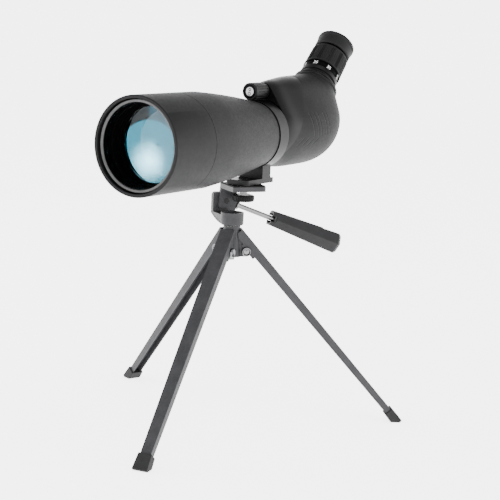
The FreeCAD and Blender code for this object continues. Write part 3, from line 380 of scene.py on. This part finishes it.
glasses = {
    "eyeGlass": {"tint": (0.82, 0.86, 0.95), "rough": 0.02, "clear": 0.9, "bend": 1.52, "shine": 0.4},
    "prismGlass": {"tint": (0.86, 0.94, 0.94), "rough": 0.03, "clear": 0.9, "bend": 1.52, "shine": 0.5},
    "frontGlass": {"tint": (0.93, 0.99, 1.0), "rough": 0.0, "clear": 1.0, "bend": 1.3, "shine": 0.08},
}


def glassFinish(name):
    look = glasses[name]
    paint = Paint(name)
    dust = paint.noise(0.6 * mm, 4.0, 0.6)
    film = paint.noise(6 * mm, 2.0)
    faded = tuple(channel * 0.9 for channel in look["tint"])
    paint.feed("Base Color", paint.mixed(film, faded, look["tint"]))
    paint.feed("Roughness", look["rough"] + dust * 0.04)
    paint.bump(dust, 0.002 * mm)
    paint.fix(Transmission_Weight=look["clear"], IOR=look["bend"], Specular_IOR_Level=look["shine"])
    return paint.material


def scaleInk():
    paint = Paint("scaleInk")
    wear = paint.noise(0.4 * mm, 3.0)
    worn, fresh = (0.5, 0.5, 0.5), (0.82, 0.82, 0.8)
    paint.feed("Base Color", paint.mixed(((wear - 0.35) * 2).clamped(), worn, fresh))
    paint.feed("Roughness", 0.45 + wear * 0.2)
    paint.bump(wear, 0.01 * mm)
    return paint.material


looks = {
    "rubber_armour": plainFinish("rubberArmour"), "hood_paint": plainFinish("hoodPaint"),
    "satin_black": plainFinish("satinBlack"), "black_anodised": plainFinish("anodised", paleRimEdge),
    "objective_glass": lensTintAndPaintedReflections(), "eye_glass": glassFinish("eyeGlass"),
    "prism_glass": glassFinish("prismGlass"), "knob_plastic": plainFinish("knobPlastic"),
    "bright_cap": metalFinish("brightCap", capRelief), "chrome_pivot": metalFinish("chromed"),
    "steel": metalFinish("plated"), "blackened_steel": plainFinish("blackened"),
    "washer_nylon": plainFinish("nylon"),
    "tripod_paint": plainFinish("tripodPaint"), "boot_rubber": plainFinish("bootRubber"),
    "pad_rubber": plainFinish("padRubber", padRidges), "grip_plastic": plainFinish("gripPlastic"),
}
for name, node in frame["nodes"].items():
    for place in node.material_slots:
        place.material = looks[slotOfNode[name]]
frame["nodes"]["objective_crown"].material_slots[0].material = glassFinish("frontGlass")
print("materials done:", len(looks))


def addPiece(name, mesh, body, material, instead=()):
    piece = bpy.data.objects.new(name, mesh)
    bpy.context.collection.objects.link(piece)
    mesh.materials.clear()
    mesh.materials.append(material)
    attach(piece, body)
    if instead:
        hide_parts(*instead)
    return piece


def smooth(mesh, angle=32):
    mesh.shade_smooth()
    mesh.set_sharp_from_angle(angle=math.radians(angle))


# the CAD shell with its edges rounded
def softened(node, width, segments=2, angle=34, material=None):
    source = frame["nodes"][node]
    work = bmesh.new()
    work.from_mesh(source.data)
    bmesh.ops.remove_doubles(work, verts=work.verts, dist=0.002 * mm)
    if width:
        bmesh.ops.dissolve_limit(work, angle_limit=math.radians(0.5), verts=work.verts, edges=work.edges)
    mesh = bpy.data.meshes.new(node + "Shell")
    work.to_mesh(mesh)
    work.free()
    if "custom_normal" in mesh.attributes:
        mesh.attributes.remove(mesh.attributes["custom_normal"])
    smooth(mesh, angle)
    slotName = slotOfNode[node]
    piece = addPiece(node + "Shell", mesh, bodyOfNode[node], material or looks[slotName], [node])
    if width:
        bevel = piece.modifiers.new("edges", "BEVEL")
        bevel.width = width
        bevel.segments = segments
        bevel.limit_method = "ANGLE"
        bevel.angle_limit = math.radians(angle)
        bevel.use_clamp_overlap = True
        bevel.harden_normals = True
    return piece


# matrix with its Z along a direction
def along(point, direction, sideways=(0, 0, 1)):
    z = Vector(direction).normalized()
    x = Vector(sideways).cross(z)
    x = x.normalized() if x.length > 0.01 else Vector((1, 0, 0))
    y = z.cross(x)
    return Matrix.Translation(Vector(point)) @ Matrix((x, y, z)).transposed().to_4x4()


# profile of (radius, height) in millimetres turned about an axis
def turnedMesh(work, profile, steps=96):
    points = [work.verts.new((radius * mm, 0, height * mm)) for radius, height in profile]
    lines = [work.edges.new(pair) for pair in zip(points, points[1:])]
    made = bmesh.ops.spin(work, geom=points + lines, axis=(0, 0, 1), cent=(0, 0, 0), angle=2 * math.pi,
                          steps=steps, use_merge=True, use_duplicate=False)
    return made


def finished(work, name, where, angle=32):
    bmesh.ops.remove_doubles(work, verts=work.verts, dist=0.002 * mm)
    bmesh.ops.recalc_face_normals(work, faces=work.faces)
    bmesh.ops.transform(work, matrix=where, verts=work.verts)
    mesh = bpy.data.meshes.new(name)
    work.to_mesh(mesh)
    work.free()
    smooth(mesh, angle)
    return mesh


# shells whose edges are rounded, with the radius in millimetres
shellEdges = {
    "sun_hood": 0.0, "barrel_armour": 0.0, "mount_collar": 0.45, "prism_housing": 0.3, "rear_cover": 0.25,
    "eyepiece_seat": 0.25, "zoom_sleeve": 0.2, "eyecup": 0.25, "focus_knob": 0.15, "focus_cap": 0.2,
    "pan_cup": 0.5, "tilt_bracket": 0.35, "hub": 0.5, "leg_1": 0.35, "leg_2": 0.35, "leg_3": 0.35,
    "boot_1": 0.7, "boot_2": 0.7, "boot_3": 0.7, "handle_grip": 0.8, "collar_lock_knob": 0.3,
    "lens_retainer": 0.1, "front_baffle": 0.1, "camera_knob": 0.0,
    "platform_pad": 0.15, "handle_rod": 0.0,
}
ownLook = {
    "rear_cover": plainFinish("rubberArmour", coverRelief, "coverRubber"),
    "barrel_armour": plainFinish("rubberArmour", hoodSeam, "barrelRubber"),
    "mount_collar": looks["satin_black"],
}
for node, width in shellEdges.items():
    softened(node, width * mm, material=ownLook.get(node))
print("shells done:", len(shellEdges))

def spanOf(node, joint):  # lowest and highest place along a joint's axis, and the largest radius, in metres
    point = Vector(joint["pos_m"])
    axis = Vector(joint["axis"]).normalized()
    offsets = [vertex.co - point for vertex in frame["nodes"][node].data.vertices]
    places = [offset.dot(axis) for offset in offsets]
    radius = max((offset - axis * offset.dot(axis)).length for offset in offsets)
    return min(places), max(places), radius


zoomGrip = {
    "segments": 384, "fineRibs": 64, "fineDepth": 0.36, "groups": 12, "groupDepth": 0.95,
    "lip": 1.4, "wall": 1.6, "taper": 0.5,
}


def ribDepth(angle):  # how far the rubber dips at an angle, in mm
    look = zoomGrip
    turn = angle / (2 * math.pi)
    fine = look["fineDepth"] if (turn * look["fineRibs"]) % 1.0 > 0.5 else 0.0
    group = (turn * look["groups"]) % 1.0
    deep = 0.08 < group < 0.18 or 0.26 < group < 0.36
    return look["groupDepth"] if deep else fine


def buildZoomGrip():
    look = zoomGrip
    joint = jointByName["zoom_turn"]
    low, high, radius = spanOf("zoom_grip", joint)
    inner = radius - look["wall"] * mm
    length = high - low
    lip = look["lip"] * mm
    rows = [  # height, share of the rib depth, inset
        (0.0, 0.0, 0.3 * mm), (0.3 * mm, 0.0, 0.0), (lip, 0.0, 0.05 * mm), (lip + 0.3 * mm, 1.0, 0.08 * mm),
        (length - lip - 0.5 * mm, 1.0, look["taper"] * mm), (length - lip, 0.0, look["taper"] * mm),
        (length - 0.4 * mm, 0.0, 0.8 * mm), (length, 0.0, 1.1 * mm),
    ]
    work = bmesh.new()
    bmesh.ops.create_circle(work, segments=look["segments"], radius=radius)
    first = list(work.edges)
    edges = first
    for index, (height, share, inset) in enumerate(rows):
        if index:
            made = bmesh.ops.extrude_edge_only(work, edges=edges)["geom"]
            edges = [item for item in made if isinstance(item, bmesh.types.BMEdge)]
            verts = [item for item in made if isinstance(item, bmesh.types.BMVert)]
        else:
            verts = list(work.verts)
        for vertex in verts:
            angle = math.atan2(vertex.co.y, vertex.co.x) % (2 * math.pi)
            reach = radius - inset - share * ribDepth(angle + 0.002) * mm
            vertex.co = Vector((reach * math.cos(angle), reach * math.sin(angle), low + height))
    for height in (length, 0.0):
        made = bmesh.ops.extrude_edge_only(work, edges=edges)["geom"]
        edges = [item for item in made if isinstance(item, bmesh.types.BMEdge)]
        for vertex in (item for item in made if isinstance(item, bmesh.types.BMVert)):
            angle = math.atan2(vertex.co.y, vertex.co.x)
            vertex.co = Vector((inner * math.cos(angle), inner * math.sin(angle), low + height))
    bmesh.ops.bridge_loops(work, edges=first + edges)
    mesh = finished(work, "zoomRibs", along(joint["pos_m"], joint["axis"]), 40)
    addPiece("zoomRibs", mesh, "zoom_ring", looks["rubber_armour"], ["zoom_grip"])


buildZoomGrip()

pivotHead = [  # rolled rim, dished face and a small crown: radius, height in mm
    (0.0, 1.25), (0.9, 1.15), (1.35, 0.8), (2.3, 0.7), (2.8, 1.3), (3.2, 1.9), (3.6, 2.0), (4.0, 1.6),
    (4.2, 0.9), (4.2, 0.0),
]


def buildPivotHeads():
    whole = bmesh.new()
    for name in ("front_leg_fold", "right_leg_fold", "left_leg_fold"):
        joint = jointByName[name]
        point = Vector(joint["pos_m"])
        axis = Vector(joint["axis"])
        near = [vertex.co - point for vertex in frame["nodes"]["leg_pins"].data.vertices]
        near = [offset for offset in near if (offset - axis * offset.dot(axis)).length < 5 * mm]
        top = max(offset.dot(axis) for offset in near if abs(offset.dot(axis)) < 14 * mm) / mm
        base = top - 2.0
        shank = 1.9
        upper = [(radius, base + height) for radius, height in pivotHead]
        lower = [(radius, -place) for radius, place in reversed(upper)]
        profile = upper + [(shank, base), (shank, -base)] + lower
        one = bmesh.new()
        turnedMesh(one, profile, 48)
        bmesh.ops.transform(one, matrix=along(point, axis), verts=one.verts)
        mesh = bpy.data.meshes.new("one")
        one.to_mesh(mesh)
        one.free()
        whole.from_mesh(mesh)
        bpy.data.meshes.remove(mesh)
    mesh = finished(whole, "pivotHeads", Matrix.Identity(4), 50)
    addPiece("pivotHeads", mesh, "tripod", looks["chrome_pivot"], ["leg_pins"])


buildPivotHeads()

gripRidge = {"share": 0.74, "width": 0.42, "height": 0.7}


def buildGripRidge():  # long low rib on top of the handle's grip
    joint = jointByName["handle_twist"]
    point = Vector(joint["pos_m"])
    axis = Vector(joint["axis"])
    where = along(point, axis)
    local = [where.inverted() @ vertex.co for vertex in frame["nodes"]["handle_grip"].data.vertices]
    low, high = min(co.z for co in local), max(co.z for co in local)
    narrow = max(co.y for co in local if co.z < low + 1 * mm)
    wide = max(co.y for co in local)
    end = low + (high - low) * gripRidge["share"]
    work = bmesh.new()
    bmesh.ops.create_cube(work, size=1.0)
    for vertex in work.verts:
        share = 0.0 if vertex.co.z < 0 else gripRidge["share"]
        half = narrow + (wide - narrow) * share
        top = half + gripRidge["height"] * mm if vertex.co.y > 0 else half - 1.0 * mm
        pull = 1.8 * mm if vertex.co.y > 0 and share else 0.0
        place = low + 0.4 * mm if not share else end - pull
        vertex.co = Vector((vertex.co.x * 2 * half * gripRidge["width"], top, place))
    bmesh.ops.bevel(work, geom=work.edges, offset=0.35 * mm, affect="EDGES", segments=2, profile=0.5,
                    material=-1)
    mesh = finished(work, "gripRidge", where)
    addPiece("gripRidge", mesh, "handle", looks["grip_plastic"])


buildGripRidge()

scaleMarks = {"numbers": ("15", "25", "35", "45"), "firstAngle": 50, "step": 45, "height": 3.4, "lift": 0.03}


def buildScaleMarks():
    joint = jointByName["zoom_turn"]
    low, high, radius = spanOf("scale_ring", joint)
    where = along(joint["pos_m"], joint["axis"])
    ink = scaleInk()
    whole = bmesh.new()
    for index, number in enumerate(scaleMarks["numbers"]):
        curve = bpy.data.curves.new("number", "FONT")
        curve.body = number
        curve.size = scaleMarks["height"] * mm * 1.35
        curve.extrude = 0.04 * mm
        curve.align_x = "CENTER"
        curve.align_y = "CENTER"
        text = bpy.data.objects.new("number", curve)
        bpy.context.collection.objects.link(text)
        mesh = bpy.data.meshes.new_from_object(text)
        bpy.data.objects.remove(text)
        turn = math.radians(scaleMarks["firstAngle"] + index * scaleMarks["step"])
        for vertex in mesh.vertices:
            reach = radius + scaleMarks["lift"] * mm + vertex.co.z
            angle = turn + vertex.co.x / radius
            height = (low + high) / 2 + vertex.co.y
            vertex.co = Vector((reach * math.cos(angle), reach * math.sin(angle), height))
        whole.from_mesh(mesh)
        bpy.data.meshes.remove(mesh)
    bmesh.ops.transform(whole, matrix=where, verts=whole.verts)
    mesh = bpy.data.meshes.new("scaleMarks")
    whole.to_mesh(mesh)
    whole.free()
    addPiece("scaleMarks", mesh, "zoom_ring", ink)


buildScaleMarks()
print("detail pieces done")

rimBands = {  # profiles of (radius, depth behind the front of the node) in millimetres
    "hoodLip": {
        "node": "sun_hood", "body": "hood", "slot": "hood_paint", "finish": looks["hood_paint"],
        "profile": ((37.1, 0.5), (37.45, 0.15), (39.1, 0.15), (39.4, 0.45), (39.4, 1.3), (37.1, 1.3),
                    (37.1, 0.5)),
    },
    "tubeLip": {
        "node": "barrel_tube", "body": "scope", "slot": "black_anodised", "finish": plainFinish("paleRimTone"),
        "profile": ((34.0, 0.7), (34.5, -0.1), (36.0, -0.3), (36.3, 0.0), (36.3, 0.7), (34.0, 0.7)),
    },
}


def buildRimBand(name):  # flat band round a front edge
    look = rimBands[name]
    middle = jointByName["scope_rotation"]["pos_m"]
    work = bmesh.new()
    turnedMesh(work, look["profile"], 160)
    point = Vector((middle[0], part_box(look["node"])[0].y, middle[2]))
    mesh = finished(work, name, along(point, (0, 1, 0)))
    addPiece(name, mesh, look["body"], look["finish"])


buildRimBand("hoodLip")
buildRimBand("tubeLip")

view = {
    "azimuth": 31.421, "elevation": 10.163, "roll": 2.575, "lens": 97.44,
    "distance": 1.21072, "across": 0.016727, "rise": 0.152236,
}


def aimCamera():
    pan = jointByName["pan"]["pos_m"]
    turn = math.radians(view["azimuth"])
    lift = math.radians(view["elevation"])
    roll = math.radians(view["roll"])
    back = Vector((math.sin(turn) * math.cos(lift), -math.cos(turn) * math.cos(lift), math.sin(lift)))
    right = (-back).cross(Vector((0, 0, 1))).normalized()
    top = right.cross(-back)
    spot = Vector((pan[0], pan[1], 0)) + back * view["distance"] + right * view["across"] + top * view["rise"]
    rolledRight = right * math.cos(roll) + top * math.sin(roll)
    rolledTop = top * math.cos(roll) - right * math.sin(roll)
    camera = bpy.data.objects.new("camera", bpy.data.cameras.new("camera"))
    bpy.context.collection.objects.link(camera)
    camera.data.lens = view["lens"]
    camera.data.sensor_width = 36.0
    turned = Matrix((rolledRight, rolledTop, back)).transposed().to_4x4()
    camera.matrix_world = Matrix.Translation(spot) @ turned
    bpy.context.scene.camera = camera


aimCamera()

studio = {
    "horizon": 1.0, "overhead": 0.2, "strength": 5.2, "glow": 3.6,
    "lamps": [  # place, size in metres, watts
        {"name": "frontPanel", "at": (-1.6, -0.5, 0.7), "size": 0.8, "power": 20.0},
        {"name": "topPanel", "at": (0.5, -0.3, 1.7), "size": 1.0, "power": 8.0},
        {"name": "sidePanel", "at": (1.6, 0.2, 0.6), "size": 0.8, "power": 3.0},
    ],
}


def lightStudio():
    world = bpy.data.worlds.new("studio")
    world.use_nodes = True
    tree = world.node_tree
    place = tree.nodes.new("ShaderNodeTexCoord")
    split = tree.nodes.new("ShaderNodeSeparateXYZ")
    ramp = tree.nodes.new("ShaderNodeMapRange")
    tree.links.new(place.outputs["Generated"], split.inputs[0])
    tree.links.new(split.outputs["Z"], ramp.inputs["Value"])
    for socket, value in (("From Min", 0.12), ("From Max", 0.6), ("To Min", studio["horizon"]),
                          ("To Max", studio["overhead"])):
        ramp.inputs[socket].default_value = value
    tree.links.new(ramp.outputs[0], tree.nodes["Background"].inputs[0])
    tree.nodes["Background"].inputs[1].default_value = studio["strength"]
    bpy.context.scene.world = world
    target = Vector((0, 0, 0.2))
    for lamp in studio["lamps"]:
        data = bpy.data.lights.new(lamp["name"], "AREA")
        data.shape = "SQUARE"
        data.size = lamp["size"]
        data.energy = lamp["power"]
        light = bpy.data.objects.new(lamp["name"], data)
        bpy.context.collection.objects.link(light)
        light.matrix_world = along(lamp["at"], Vector(lamp["at"]) - target)
    work = bmesh.new()
    bmesh.ops.create_grid(work, x_segments=1, y_segments=1, size=30.0)
    mesh = bpy.data.meshes.new("floor")
    work.to_mesh(mesh)
    work.free()
    floor = bpy.data.objects.new("floor", mesh)
    bpy.context.collection.objects.link(floor)
    paint = Paint("floorPaper")
    paint.feed("Base Color", paint.mixed(paint.noise(0.4, 2.0), (0.88, 0.88, 0.88), (0.9, 0.9, 0.9)))
    paint.fix(Roughness=0.7, Emission_Color=(1, 1, 1, 1), Emission_Strength=studio["glow"])
    mesh.materials.append(paint.material)


lightStudio()
print("camera and lights done")
